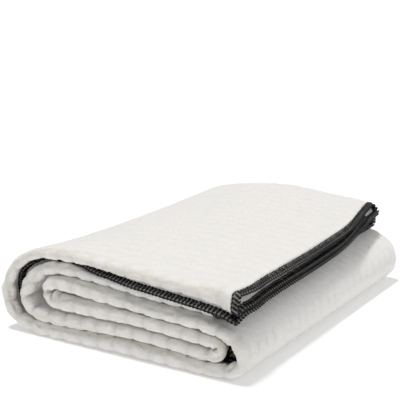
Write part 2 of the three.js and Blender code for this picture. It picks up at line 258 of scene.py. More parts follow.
@dataclass
class FoldPath:
    """The long way of the towel, as a curve through the pile seen from the front.

    Attributes:
        towel: The towel that follows it.
        stretches: The layers and turns, from the free end on top.
        step: Distance between two samples of the curve.
        smoothing: How many times the samples are evened out.
        along: Each sample's distance from the free end.
        point: Its x and z.
        normal: The right-hand normal there.
        bend: How sharply the curve turns there, in radians a millimetre.
        columns: The stretches' columns there.
        ends: How far from the free end each stretch ends.
    """

    towel: Towel
    stretches: tuple[Stretch, ...] = PATH
    step: float = 0.75
    smoothing: int = 12
    along: np.ndarray = field(init=False)
    point: np.ndarray = field(init=False)
    normal: np.ndarray = field(init=False)
    bend: np.ndarray = field(init=False)
    columns: dict[str, np.ndarray] = field(init=False)
    ends: list[float] = field(init=False)

    def __post_init__(self) -> None:
        """Trace the curve and measure it."""
        table = {name: np.concatenate([row.column(name) for row in self.stretches])
                 for name in ("x", "z", *COLUMNS)}
        knots = np.stack([table["x"], table["z"]], axis=1)
        points, columns = [], {name: [] for name in COLUMNS}
        first_sample = []
        for span in range(len(knots) - 1):
            gap = np.hypot(*(knots[span + 1] - knots[span]))
            count = math.ceil(gap / self.step)
            share = np.arange(count + (span == len(knots) - 2)) / count
            first_sample.append(sum(len(part) for part in points))
            points.append(self._between(knots, span, share))
            for name in COLUMNS:
                blend = smooth_between(share, 0.0, 1.0)
                columns[name].append(mix(table[name][span], table[name][span + 1], blend))
        point = np.concatenate(points)
        for _ in range(self.smoothing):
            point[1:-1] = 0.5 * point[1:-1] + 0.25 * (point[:-2] + point[2:])
        point[:, 1] = np.maximum(point[:, 1], self.towel.rest_height)
        tangent = np.empty_like(point)
        tangent[1:-1] = point[2:] - point[:-2]
        tangent[0] = point[1] - point[0]
        tangent[-1] = point[-1] - point[-2]
        tangent /= np.linalg.norm(tangent, axis=1, keepdims=True)
        self.point = point
        self.normal = np.stack([tangent[:, 1], -tangent[:, 0]], axis=1)
        self.along = np.concatenate([[0.0], np.cumsum(np.linalg.norm(np.diff(point, axis=0), axis=1))])
        facing = np.unwrap(np.arctan2(self.normal[:, 1], self.normal[:, 0]))
        self.bend = np.gradient(facing, self.along)
        self.columns = {name: np.concatenate(parts) for name, parts in columns.items()}
        last_knots = np.cumsum([len(row.x) for row in self.stretches])
        self.ends = [float(self.along[first_sample[min(k, len(first_sample) - 1)]]) for k in last_knots]

    @staticmethod
    def _between(knots: np.ndarray, span: int, share: np.ndarray) -> np.ndarray:
        """A centripetal Catmull-Rom curve between two neighbouring knots.

        Args:
            knots: All the points that the curve passes.
            span: The number of the knot that this part starts from.
            share: How far along the part each wanted point lies, from 0 to 1.

        Returns:
            The points, one row each.
        """
        before = knots[span - 1] if span > 0 else 2 * knots[0] - knots[1]
        start, end = knots[span], knots[span + 1]
        after = knots[span + 2] if span + 2 < len(knots) else 2 * knots[-1] - knots[-2]
        gaps = [np.sum((b - a) ** 2) ** 0.25 for a, b in ((before, start), (start, end), (end, after))]
        leave = (start - before) / gaps[0] - (end - before) / (gaps[0] + gaps[1]) + (end - start) / gaps[1]
        arrive = (end - start) / gaps[1] - (after - start) / (gaps[1] + gaps[2]) + (after - end) / gaps[2]
        leave, arrive = leave * gaps[1], arrive * gaps[1]
        t = share[:, None]
        bend = -3 * start + 3 * end - 2 * leave - arrive
        return start + leave * t + bend * t ** 2 + (2 * start - 2 * end + leave + arrive) * t ** 3

    def at(self, along: np.ndarray) -> dict[str, np.ndarray]:
        """Everything about the path at some distances along the towel.

        Args:
            along: Distances from the free end.

        Returns:
            The path's x and z, its right-hand normal and its columns, by name.
        """
        found = {name: np.interp(along, self.along, values) for name, values in self.columns.items()}
        found["along"] = along
        found["bend"] = np.interp(along, self.along, self.bend)
        for axis, name in enumerate(("x", "z")):
            found[name] = np.interp(along, self.along, self.point[:, axis])
            found["normal_" + name] = np.interp(along, self.along, self.normal[:, axis])
        size = np.hypot(found["normal_x"], found["normal_z"])
        found["normal_x"] = found["normal_x"] / size
        found["normal_z"] = found["normal_z"] / size
        return found

    def shown(self, along: np.ndarray, sight: Sight) -> np.ndarray:
        """Whether places lie in a stretch that is seen in the given way.

        Args:
            along: Distances from the free end.
            sight: The way it is seen.

        Returns:
            True at each such place.
        """
        starts = [0.0, *self.ends[:-1]]
        hit = np.zeros(np.shape(along), bool)
        for row, start, end in zip(self.stretches, starts, self.ends):
            if row.sight is sight:
                hit |= (along >= start) & (along <= end)
        return hit


@dataclass(frozen=True)
class LetterFold:
    """The fold across the towel: three plies with a front fold, a back fold and two hems.

    Attributes:
        towel: The towel that is folded.
        loop_proud: How far a front fold that lies on its own hem stands over its outer ply.
        loop_merge: Least length over which such a fold narrows to its two plies.
        tucked_merge: The same where the hem is tucked well in.
        hem_flush: A hem set back less than this shows below the front fold.
        hem_tucked: From here on the fold has the whole layer's height to itself.
        hem_clearance: Between the fold's wide part and the hem behind it.
        hem_step: Length of each short turn of a hem that hangs down.
        seam_gap: Between the cloth and its band.
        arc_steps: Steps round a fold.
        side_steps: Steps along each side of a fold, where it narrows.
    """

    towel: Towel
    loop_proud: float = 0.25
    loop_merge: float = 5.0
    tucked_merge: float = 2.0
    hem_flush: float = 3.0
    hem_tucked: float = 9.0
    hem_clearance: float = 1.5
    hem_step: float = 2.4
    seam_gap: float = 0.3
    arc_steps: int = 14
    side_steps: int = 8

    @property
    def front_tip(self) -> int:
        """Number of the section's point at the tip of the front fold."""
        return 1 + self.side_steps + self.arc_steps // 2

    @property
    def back_tip(self) -> int:
        """Number of the section's point at the tip of the back fold."""
        return self.front_tip + self.arc_steps + 1 + self.side_steps

    def sections(self, path: dict[str, np.ndarray]) -> tuple[np.ndarray, np.ndarray, np.ndarray]:
        """The middle of the cloth across the towel, at each place on the path.

        Args:
            path: What FoldPath.at gives for those places.

        Returns:
            Depth y, distance n from the middle ply and distance across the towel, one row a place.
        """
        towel, pitch = self.towel, self.towel.ply_pitch
        tucked = smooth_between(path["hem"], self.hem_flush, self.hem_tucked)
        radius = path["loop"]
        on_table = 1 - smooth_between(path["z"], towel.rest_height, towel.rest_height + pitch)
        flush = pitch - radius
        inside = np.maximum(0, flush) + on_table * np.minimum(0, flush)
        centre = mix(flush + self.loop_proud, inside, tucked)
        tip = path["front"] + towel.thickness / 2
        merge = mix(self.loop_merge, self.tucked_merge, tucked)
        reach = np.maximum(merge, path["hem"] - self.hem_clearance - radius - tip)
        half = pitch / 2
        back = towel.folded_depth - path["back"] - towel.thickness / 2 - pitch
        zero = np.zeros_like(tip)
        half_turn = np.linspace(-math.pi / 2, math.pi / 2, self.arc_steps + 1)
        shares = np.linspace(0, 1, self.side_steps + 1)[1:]

        def narrowing(share: float, side: int) -> tuple[np.ndarray, np.ndarray]:
            """A point on one side of the front fold, where it narrows to its two plies."""
            fall = float(smooth_between(np.float64(share), 0, 1))
            return (tip + radius + reach * share, mix(centre, half, fall) + side * mix(radius, half, fall))

        # The first point is the hidden hem, whose depth follows from the towel's width
        points = [
            (zero, zero),
            *(narrowing(share, -1) for share in shares[::-1]),
            *((tip + radius - radius * math.cos(a), centre + radius * math.sin(a)) for a in half_turn),
            *(narrowing(share, 1) for share in shares),
            *((back + pitch * math.cos(a), zero - pitch * math.sin(a)) for a in half_turn),
            *self._free_hem(path),
        ]
        y = np.stack([p[0] for p in points], axis=1)
        n = np.stack([p[1] for p in points], axis=1)
        used = np.hypot(np.diff(y[:, 1:], axis=1), np.diff(n[:, 1:], axis=1)).sum(axis=1)
        y[:, 0] = y[:, 1] + towel.width - used
        steps = np.hypot(np.diff(y, axis=1), np.diff(n, axis=1))
        across = np.concatenate([np.zeros((len(y), 1)), np.cumsum(steps, axis=1)], axis=1)
        return y, n, across

    def _free_hem(self, path: dict[str, np.ndarray]) -> list[tuple[np.ndarray, np.ndarray]]:
        """The inner ply's hem, which hangs down in three short turns.

        Args:
            path: What FoldPath.at gives.

        Returns:
            Points (y, n) from the hem's start to the towel's edge.
        """
        towel = self.towel
        droop = np.radians(path["droop"])
        turns = [droop * part / 3 for part in (1, 2, 3)]
        lengths = [self.hem_step] * 3 + [self.seam_gap + towel.band_width]
        turns.append(turns[-1])
        run = sum(length * np.cos(turn) for length, turn in zip(lengths, turns))
        y, n = path["hem"] + run, np.full_like(run, -towel.ply_pitch)
        points = [(y, n)]
        for length, turn in zip(lengths, turns):
            y, n = y - length * np.cos(turn), n - length * np.sin(turn)
            points.append((y, n))
        return points


@dataclass(frozen=True)
class Settling:
    """How the pile has settled behind its puffy front folds.

    Attributes:
        depth: Over how much depth it takes its settled shape.
        left_sink: Share of the height that the left half loses.
        right_rise: Share that the right half gains.
        left_draw: How far the left turns draw in.
        left_starts: How far from the path's zero the left half begins.
        left_span: It is fully itself this much further on.
    """

    depth: float = 55.0
    left_sink: float = 0.11
    right_rise: float = 0.07
    left_draw: float = 6.0
    left_starts: float = 55.0
    left_span: float = 75.0


@dataclass(frozen=True)
class FreeEnd:
    """The end that lies on top: it drops and gapes at the front, and its far corner swings in.

    Attributes:
        length: Over how much of the towel the upper ply rises to the gape.
        fade: How suddenly that and the drop begin.
        lift: How far the upper ply is lifted at the front.
        lift_kept: Share of the lift that is left well behind the front fold.
        lift_depth: Over how much depth the rest goes.
        lift_closes: Depths between which the gape closes.
        drop: How far the end hangs down.
        drop_length: Over how much of the towel.
        drop_depths: Depths between which the drop ends.
        sag: How much further the lowest ply hangs.
        sag_depths: Depths between which that ends.
        swing_lower: How far the lowest ply's far corner swings in.
        swing_upper: The same for the upper ply.
        swing_depths: Depths between which the swing grows.
        swing_length: Over how much of the towel it fades out.
        bulges: Where the edge bulges, as rows of depth, reach and distance outwards.
    """

    length: float = 17.0
    fade: float = 1.5
    lift: float = 6.8
    lift_kept: float = 0.42
    lift_depth: float = 30.0
    lift_closes: tuple[float, float] = (128.0, 168.0)
    drop: float = 5.0
    drop_length: float = 9.5
    drop_depths: tuple[float, float] = (122.0, 168.0)
    sag: float = 0.5
    sag_depths: tuple[float, float] = (165.0, 200.0)
    swing_lower: float = 10.0
    swing_upper: float = 15.0
    swing_depths: tuple[float, float] = (130.0, 225.0)
    swing_length: float = 150.0
    bulges: tuple[tuple[float, float, float], ...] = ((20.0, 10.0, 1.3), (125.0, 20.0, -1.3))


@dataclass
class FoldedTowel:
    """The map from the flat towel to the folded pile.

    Attributes:
        towel: The flat towel.
        settling: How the pile has settled.
        free_end: How the end on top lies.
        slope_reach: How far either side of a point its slope across the towel is measured.
        path: The long way of the towel.
        fold: The fold across it.
    """

    towel: Towel = Towel()
    settling: Settling = Settling()
    free_end: FreeEnd = FreeEnd()
    slope_reach: float = 0.7
    path: FoldPath = field(init=False)
    fold: LetterFold = field(init=False)

    def __post_init__(self) -> None:
        """Trace the path and choose the fold."""
        self.path = FoldPath(self.towel)
        self.fold = LetterFold(self.towel)

    def place(self, along: np.ndarray, across: np.ndarray, outward: np.ndarray) -> np.ndarray:
        """Where points of the towel lie in the pile.

        Args:
            along: Distance from the free end, one value a row.
            across: Distance across the towel from the hidden hem, a row of values for each along.
            outward: Distance from the middle of the cloth, towards its outer face, as across.

        Returns:
            The places in millimetres, as an array of rows, columns and x, y, z.
        """
        path = self.path.at(along)
        ys, ns, measure = self.fold.sections(path)
        y, n = np.empty_like(across), np.empty_like(across)
        dy, dn = np.empty_like(across), np.empty_like(across)
        for i in range(len(along)):
            low = np.clip(across[i] - self.slope_reach, 0, self.towel.width)
            high = np.clip(across[i] + self.slope_reach, 0, self.towel.width)
            y[i] = np.interp(across[i], measure[i], ys[i])
            n[i] = np.interp(across[i], measure[i], ns[i])
            dy[i] = np.interp(high, measure[i], ys[i]) - np.interp(low, measure[i], ys[i])
            dn[i] = np.interp(high, measure[i], ns[i]) - np.interp(low, measure[i], ns[i])
        size = np.hypot(dy, dn)
        return self._settle(path, y - outward * dn / size, n + outward * dy / size, n)

    def strain(self, along: np.ndarray, across: np.ndarray) -> np.ndarray:
        """How much the turns stretch the cloth along its length, or press it together.

        Args:
            along: Distances from the free end.
            across: Distances across the towel.

        Returns:
            The share of its length that the cloth gains, a row for each distance along.
        """
        path = self.path.at(along)
        _, ns, measure = self.fold.sections(path)
        n = np.stack([np.interp(across, measure[i], ns[i]) for i in range(len(along))])
        return path["bend"][:, None] * n

    def _settle(
        self, path: dict[str, np.ndarray], y: np.ndarray, n: np.ndarray, middle: np.ndarray
    ) -> np.ndarray:
        """Set the letter-folded towel on its path and let the pile settle.

        Args:
            path: What FoldPath.at gives, one value a row.
            y: Depths, a row for each place on the path.
            n: Distances from the middle ply.
            middle: The same distances for the middle of the cloth at each point.

        Returns:
            The places in millimetres.
        """
        end, settling = self.free_end, self.settling
        pitch = self.towel.ply_pitch
        along = path["along"][:, None]
        depth = np.maximum(y, 0)
        near_end = np.exp(-((along / end.length) ** end.fade))
        near_edge = np.exp(-((along / end.drop_length) ** end.fade))
        level = (middle / pitch + 1) / 2
        opening = mix(end.lift_kept, 1.0, np.exp(-depth / end.lift_depth))
        opening = opening * (1 - smooth_between(y, *end.lift_closes))
        lifted = n + end.lift * np.clip(middle / pitch, 0, 1) * opening * near_end
        offset = lifted * path["squeeze"][:, None]
        x = path["x"][:, None] + path["normal_x"][:, None] * offset
        z = path["z"][:, None] + path["normal_z"][:, None] * offset
        left = smooth_between(-x, settling.left_starts, settling.left_starts + settling.left_span)
        behind = 1 - np.exp(-depth / settling.depth)
        swing = smooth_between(y, *end.swing_depths) * mix(end.swing_lower, end.swing_upper, level)
        z = z * (1 + behind * mix(settling.right_rise, -settling.left_sink, left))
        x = x + settling.left_draw * left * behind
        bulge = sum(out * np.exp(-(((y - at) / reach) ** 2)) for at, reach, out in end.bulges)
        x = x + (bulge - swing) * np.maximum(1 - along / end.swing_length, 0)
        drop = end.drop * (1 - smooth_between(y, *end.drop_depths))
        sag = end.sag * np.clip(-middle / pitch, 0, 1) * (1 - smooth_between(y, *end.sag_depths))
        z = z - (drop + sag) * near_edge
        centre = self.towel.centre
        return np.stack([x - centre[0], y - centre[1], z], axis=-1)


class CellSpan(IntEnum):
    """How many fine steps a cell of the cloth spans, by how well it is seen."""

    FRONT_FOLD = 1
    SEEN = 2
    HALF_HIDDEN = 4
    HIDDEN = 8


@dataclass
class GradedGrid:
    """A grid over the flat cloth whose blocks are cut fine where they show and coarse elsewhere.

    A coarse cell beside a fine block also takes the fine block's points on their common side, so
    the surface has no cracks.

    Attributes:
        size: Fine steps along and across; both are whole numbers of blocks.
        block: Fine steps in a block.
    """

    size: tuple[int, int]
    block: int = 16

    def used_points(self, steps: np.ndarray) -> np.ndarray:
        """Which points of the fine grid the blocks need.

        Args:
            steps: For each block, how many fine steps one of its cells spans.

        Returns:
            True at each point that is used.
        """
        used = np.zeros((self.size[0] + 1, self.size[1] + 1), bool)
        for (bi, bj), step in np.ndenumerate(steps):
            i, j = bi * self.block, bj * self.block
            used[i:i + self.block + 1:step, j:j + self.block + 1:step] = True
        return used

    def cells(self, steps: np.ndarray, used: np.ndarray, numbers: np.ndarray) -> list[tuple[int, ...]]:
        """The cells as rings of point numbers.

        Args:
            steps: For each block, how many fine steps one of its cells spans.
            used: Which points exist.
            numbers: The number of each point that exists.

        Returns:
            One tuple a cell.
        """
        faces: list[tuple[int, ...]] = []
        for (bi, bj), step in np.ndenumerate(steps):
            for i in range(bi * self.block, (bi + 1) * self.block, step):
                for j in range(bj * self.block, (bj + 1) * self.block, step):
                    ring = [(i + k, j) for k in range(step)]
                    ring += [(i + step, j + k) for k in range(step)]
                    ring += [(i + step - k, j + step) for k in range(step)]
                    ring += [(i, j + step - k) for k in range(step)]
                    faces.append(tuple(int(numbers[p]) for p in ring if used[p]))
        return faces

    def border(self) -> list[tuple[int, int]]:
        """Go once round the grid's outline, in the same sense as a cell's ring.

        Returns:
            The number of each point along and across.
        """
        last_i, last_j = self.size
        ring = [(i, 0) for i in range(last_i)]
        ring += [(last_i, j) for j in range(last_j)]
        ring += [(i, last_j) for i in range(last_i, 0, -1)]
        ring += [(0, j) for j in range(last_j, 0, -1)]
        return ring


@dataclass(frozen=True)
class WaffleWeave:
    """The weave's relief: rows of soft pillows with creases between them.

    Attributes:
        cell_along: Size of a pillow along the towel.
        cell_across: Size of a pillow across the towel.
        height: From the bottom of a crease to the top of a pillow, on a front fold.
        calm: Share of that height that is left where the cloth lies flat.
        sharpness: Small for flat pillows with narrow creases.
        proud: How far a pillow's top stands over the solid's face.
        pocket: Depth of the short pocket between two pillows.
        pocket_half: Half its width, as a share of the way to the middle of a pillow.
        pocket_ends: Large for pockets that are deep in their middle alone.
        pocket_sides: Large for pockets with hollow sides.
        pocket_gain: How much deeper pockets get where a turn stretches the cloth.
        most_stretched: Stretch beyond which they get no deeper.
        crease_gain: How much deeper creases get where the cloth is pressed together.
        bulge_gain: How much pillows bulge there.
        most_pressed: Pressing beyond which neither grows.
        wander: How far rows stray along and across, as shares of a pillow.
        wander_length: Rough distance between two such strays, along and across.
        waves: How many waves such a stray is made of.
        wave_rates: The least and the most crests that each has in that distance.
        tuft_height: Usual height of the pile's tufts over and under its mean.
        seed: Starts the uneven lie of the pillows and the tufts.
    """

    cell_along: float = 12.0
    cell_across: float = 600.0 / 63
    height: float = 0.85
    calm: float = 0.14
    sharpness: float = 0.25
    proud: float = 0.3
    pocket: float = 0.4
    pocket_half: float = 0.32
    pocket_ends: float = 3.0
    pocket_sides: float = 1.3
    pocket_gain: float = 1.2
    most_stretched: float = 0.3
    crease_gain: float = 6.0
    bulge_gain: float = 3.0
    most_pressed: float = 0.6
    wander: tuple[float, float] = (0.05, 0.06)
    wander_length: tuple[float, float] = (30.0, 26.0)
    waves: int = 7
    wave_rates: tuple[float, float] = (0.7, 1.5)
    tuft_height: float = 0.13
    seed: int = 11

    def relief(self, along: np.ndarray, across: np.ndarray) -> np.ndarray:
        """Height of the weave, from 0 in a crease's deepest point to 1 on a pillow.

        Args:
            along: Distances along the towel.
            across: Distances across it, of the same shape.

        Returns:
            The heights.
        """
        a, b = self._cells(along, across)
        rib = np.abs(np.sin(math.pi * a)) ** (2 * self.sharpness)
        wale = np.abs(np.sin(math.pi * b)) ** (2 * self.sharpness)
        return rib * wale

    def pockets(self, along: np.ndarray, across: np.ndarray) -> np.ndarray:
        """The short pockets between two pillows across the towel, from 0 to 1 in their middle.

        Args:
            along: Distances along the towel.
            across: Distances across it, of the same shape.

        Returns:
            The pockets' share of their depth.
        """
        a, b = self._cells(along, across)
        middle = np.abs(np.sin(math.pi * a)) ** self.pocket_ends
        line = np.clip(1 - np.abs(np.sin(math.pi * b)) / self.pocket_half, 0, 1)
        return middle * line**self.pocket_sides

    def _cells(self, along: np.ndarray, across: np.ndarray) -> tuple[np.ndarray, np.ndarray]:
        """Where points lie in the weave, with its small unevenness.

        Args:
            along: Distances along the towel.
            across: Distances across it, of the same shape.

        Returns:
            The same in pillows along and pillows across.
        """
        stray = self.wander[0] * self.unevenness(along, across, self.wander_length[0])
        sway = self.wander[1] * self.unevenness(across, along, self.wander_length[1])
        return along / self.cell_along + stray, across / self.cell_across + sway

    def tufts(self, shape: tuple[int, int]) -> np.ndarray:
        """The uneven height of the pile, from one fine step to the next.

        Args:
            shape: Number of points along and across.

        Returns:
            Heights in millimetres over and under the mean.
        """
        rough = np.random.default_rng(self.seed).standard_normal(shape)
        # Each point takes half of its neighbours' heights as well, so a tuft is some steps wide
        for axis in (0, 1):
            rough = rough + 0.5 * (np.roll(rough, 1, axis) + np.roll(rough, -1, axis))
        return self.tuft_height * rough / rough.std()

    def unevenness(self, a: np.ndarray, b: np.ndarray, wavelength: float) -> np.ndarray:
        """A smooth irregular wave between about -1 and 1.

        Args:
            a: One coordinate.
            b: The other.
            wavelength: Rough distance between two crests.

        Returns:
            The wave's height.
        """
        source = np.random.default_rng(self.seed)
        total = np.zeros(np.broadcast(a, b).shape)
        for _ in range(self.waves):
            angle, phase = source.uniform(0, 2 * math.pi, 2)
            rate = source.uniform(*self.wave_rates)
            run = (a * math.cos(angle) + b * math.sin(angle)) * rate * 2 * math.pi / wavelength
            total += np.sin(run + phase)
        return total / math.sqrt(self.waves)


@dataclass(frozen=True)
class Grain:
    """Noise that raises and shades a surface: its width and height in millimetres and its detail."""

    width: float
    height: float
    detail: float
    roughness: float

    def noise(self, tree: bpy.types.NodeTree) -> bpy.types.NodeSocket:
        """Lay the noise on the object's own coordinates.

        Args:
            tree: The material's nodes.

        Returns:
            The noise, from 0 to 1.
        """
        place = add_node(tree, "ShaderNodeTexCoord")
        # One cell of the noise holds a rise and a dip, each as wide as the grain
        scale = 1 / (self.width * MM * 2)
        noise = add_node(
            tree, "ShaderNodeTexNoise",
            values={"Scale": scale, "Detail": self.detail, "Roughness": self.roughness},
            links={"Vector": place.outputs["Object"]},
        )
        return noise.outputs["Fac"]


@dataclass(frozen=True)
class Finish:
    """A fibrous surface of two colours.

    Attributes:
        name: Name of the material.
        colour: Its main colour.
        other_colour: Its second colour; the microfiber uses it as shade painted into its creases.
        grains: What raises it, from the coarsest to the finest.
        bump: Share of the grains' height that is seen.
        roughness: How matt it is.
        specular: How much its surface mirrors.
        ior: Refractive index of polyester and its like.
        sheen: How much light the loose fibre ends scatter.
        sheen_roughness: How widely they scatter it.
    """

    name: str
    colour: str
    other_colour: str
    grains: tuple[Grain, ...]
    bump: float
    roughness: float
    specular: float
    ior: float = 1.5
    sheen: float = 0.0
    sheen_roughness: float = 0.45

    def material(self) -> bpy.types.Material:
        """Build the material.

        Returns:
            The material, ready for a piece.
        """
        made = bpy.data.materials.new(self.name)
        made.use_nodes = True
        tree = made.node_tree
        tree.nodes.clear()
        noises = [grain.noise(tree) for grain in self.grains]
        lie = {}
        for grain, noise in zip(self.grains, noises):
            raised = add_node(
                tree, "ShaderNodeBump", values={"Strength": self.bump, "Distance": grain.height * MM},
                links={"Height": noise} | lie,
            )
            lie = {"Normal": raised.outputs["Normal"]}
        surface = add_node(
            tree, "ShaderNodeBsdfPrincipled",
            values={
                "Roughness": self.roughness, "IOR": self.ior, "Specular IOR Level": self.specular,
                "Sheen Weight": self.sheen, "Sheen Roughness": self.sheen_roughness,
            },
            links={"Base Color": self.tone(tree, noises[0])} | lie,
        )
        add_node(tree, "ShaderNodeOutputMaterial", links={"Surface": surface.outputs["BSDF"]})
        return made

    def tone(self, tree: bpy.types.NodeTree, noise: bpy.types.NodeSocket) -> bpy.types.NodeSocket:
        """Mix the two colours by the coarsest grain.

        Args:
            tree: The material's nodes.
            noise: That grain.

        Returns:
            The colour.
        """
        return self.mixed(tree, noise)

    def mixed(self, tree: bpy.types.NodeTree, share: bpy.types.NodeSocket) -> bpy.types.NodeSocket:
        """Mix the other colour, at a share of zero, with the colour itself, at one.

        Args:
            tree: The material's nodes.
            share: The colour's share.

        Returns:
            The mixed colour.
        """
        made = add_node(
            tree, "ShaderNodeMix", {"data_type": "RGBA"},
            values={"A": linear_colour(self.other_colour), "B": linear_colour(self.colour)},
            links={"Factor": share},
        )
        return made.outputs["Result"]


@dataclass(frozen=True)
class MicrofiberFinish(Finish):
    """Undyed split polyester pile, knitted in a waffle: matt and soft, with shade painted into its creases
    as a darker, warmer colour.

    The loose fibre ends scatter light, so there is sheen and no highlight. A tuft is about 0.8 mm
    wide. Real fibres are thinner than 0.01 mm, so they are drawn as clumps of 0.3 mm, which show.

    Attributes:
        noise_range: Where the tufts' noise mostly lies.
        mottle: How dark and how light it makes the colour.
    """

    name: str = "waffle_microfiber"
    colour: str = "#F6F4F1"
    # Painted shade: the creases take this darker, warmer colour.
    other_colour: str = "#E9E5DC"
    grains: tuple[Grain, ...] = (Grain(0.8, 0.64, 3.0, 0.6), Grain(0.3, 0.3, 4.0, 0.7))
    bump: float = 1.0
    roughness: float = 0.95
    specular: float = 0.2
    sheen: float = 0.35
    noise_range: tuple[float, float] = (0.3, 0.7)
    mottle: tuple[float, float] = (0.95, 1.02)

    def tone(self, tree: bpy.types.NodeTree, noise: bpy.types.NodeSocket) -> bpy.types.NodeSocket:
        """White on the pillows, with shade painted cream into the creases, and mottled by the tufts.

        Args:
            tree: The material's nodes.
            noise: The tufts' grain.

        Returns:
            The colour.
        """
        # The relief, from 0 in a crease to 1 on a pillow, sets how much painted crease shade is mixed in.
        relief = add_node(tree, "ShaderNodeAttribute", {"attribute_name": "relief"})
        limits = zip(("From Min", "From Max", "To Min", "To Max"), (*self.noise_range, *self.mottle))
        mottle = add_node(tree, "ShaderNodeMapRange", values=dict(limits), links={"Value": noise})
        made = add_node(
            tree, "ShaderNodeMix", {"data_type": "RGBA", "blend_type": "MULTIPLY"},
            values={"Factor": 1.0},
            links={"A": self.mixed(tree, relief.outputs["Fac"]), "B": mottle.outputs["Result"]},
        )
        return made.outputs["Result"]


@dataclass(frozen=True)
class ThreadFinish(Finish):
    """Textured polyester overlocking thread, dyed black: its smooth filaments catch the light.

    A real filament is about 0.02 mm thick, so bundles of 0.22 mm are drawn, which show close by.
    """

    name: str = "overlock_thread"
    colour: str = "#0B0B0E"
    other_colour: str = "#020203"
    grains: tuple[Grain, ...] = (Grain(0.22, 0.22, 3.0, 0.6),)
    bump: float = 0.12
    roughness: float = 0.2
    specular: float = 0.3


@dataclass(frozen=True)
class PressedEdgeFinish(ThreadFinish):
    """The towel's own white edge, matt, painted grey as shade under the stitches.

    It shows as small light ticks between the black threads.
    """

    name: str = "edge_under_thread"
    # Painted shade: the white cloth is coloured in two greys.
    colour: str = "#989590"
    other_colour: str = "#6E6C69"
    roughness: float = 0.9


def mesh_object(
    name: str, points: np.ndarray, faces: list[tuple[int, ...]], material: bpy.types.Material | None
) -> bpy.types.Object:
    """Make a smooth-shaded mesh object from points in millimetres.

    Args:
        name: Name of the object and its mesh.
        points: One row a point.
        faces: Rings of point numbers.
        material: Its one material, if it has one yet.

    Returns:
        The object, linked to the scene.
    """
    mesh = bpy.data.meshes.new(name)
    mesh.from_pydata((points * MM).tolist(), [], faces)
    mesh.polygons.foreach_set("use_smooth", np.ones(len(faces), bool))
    mesh.update()
    if material is not None:
        mesh.materials.append(material)
    made = bpy.data.objects.new(name, mesh)
    bpy.context.scene.collection.objects.link(made)
    return made


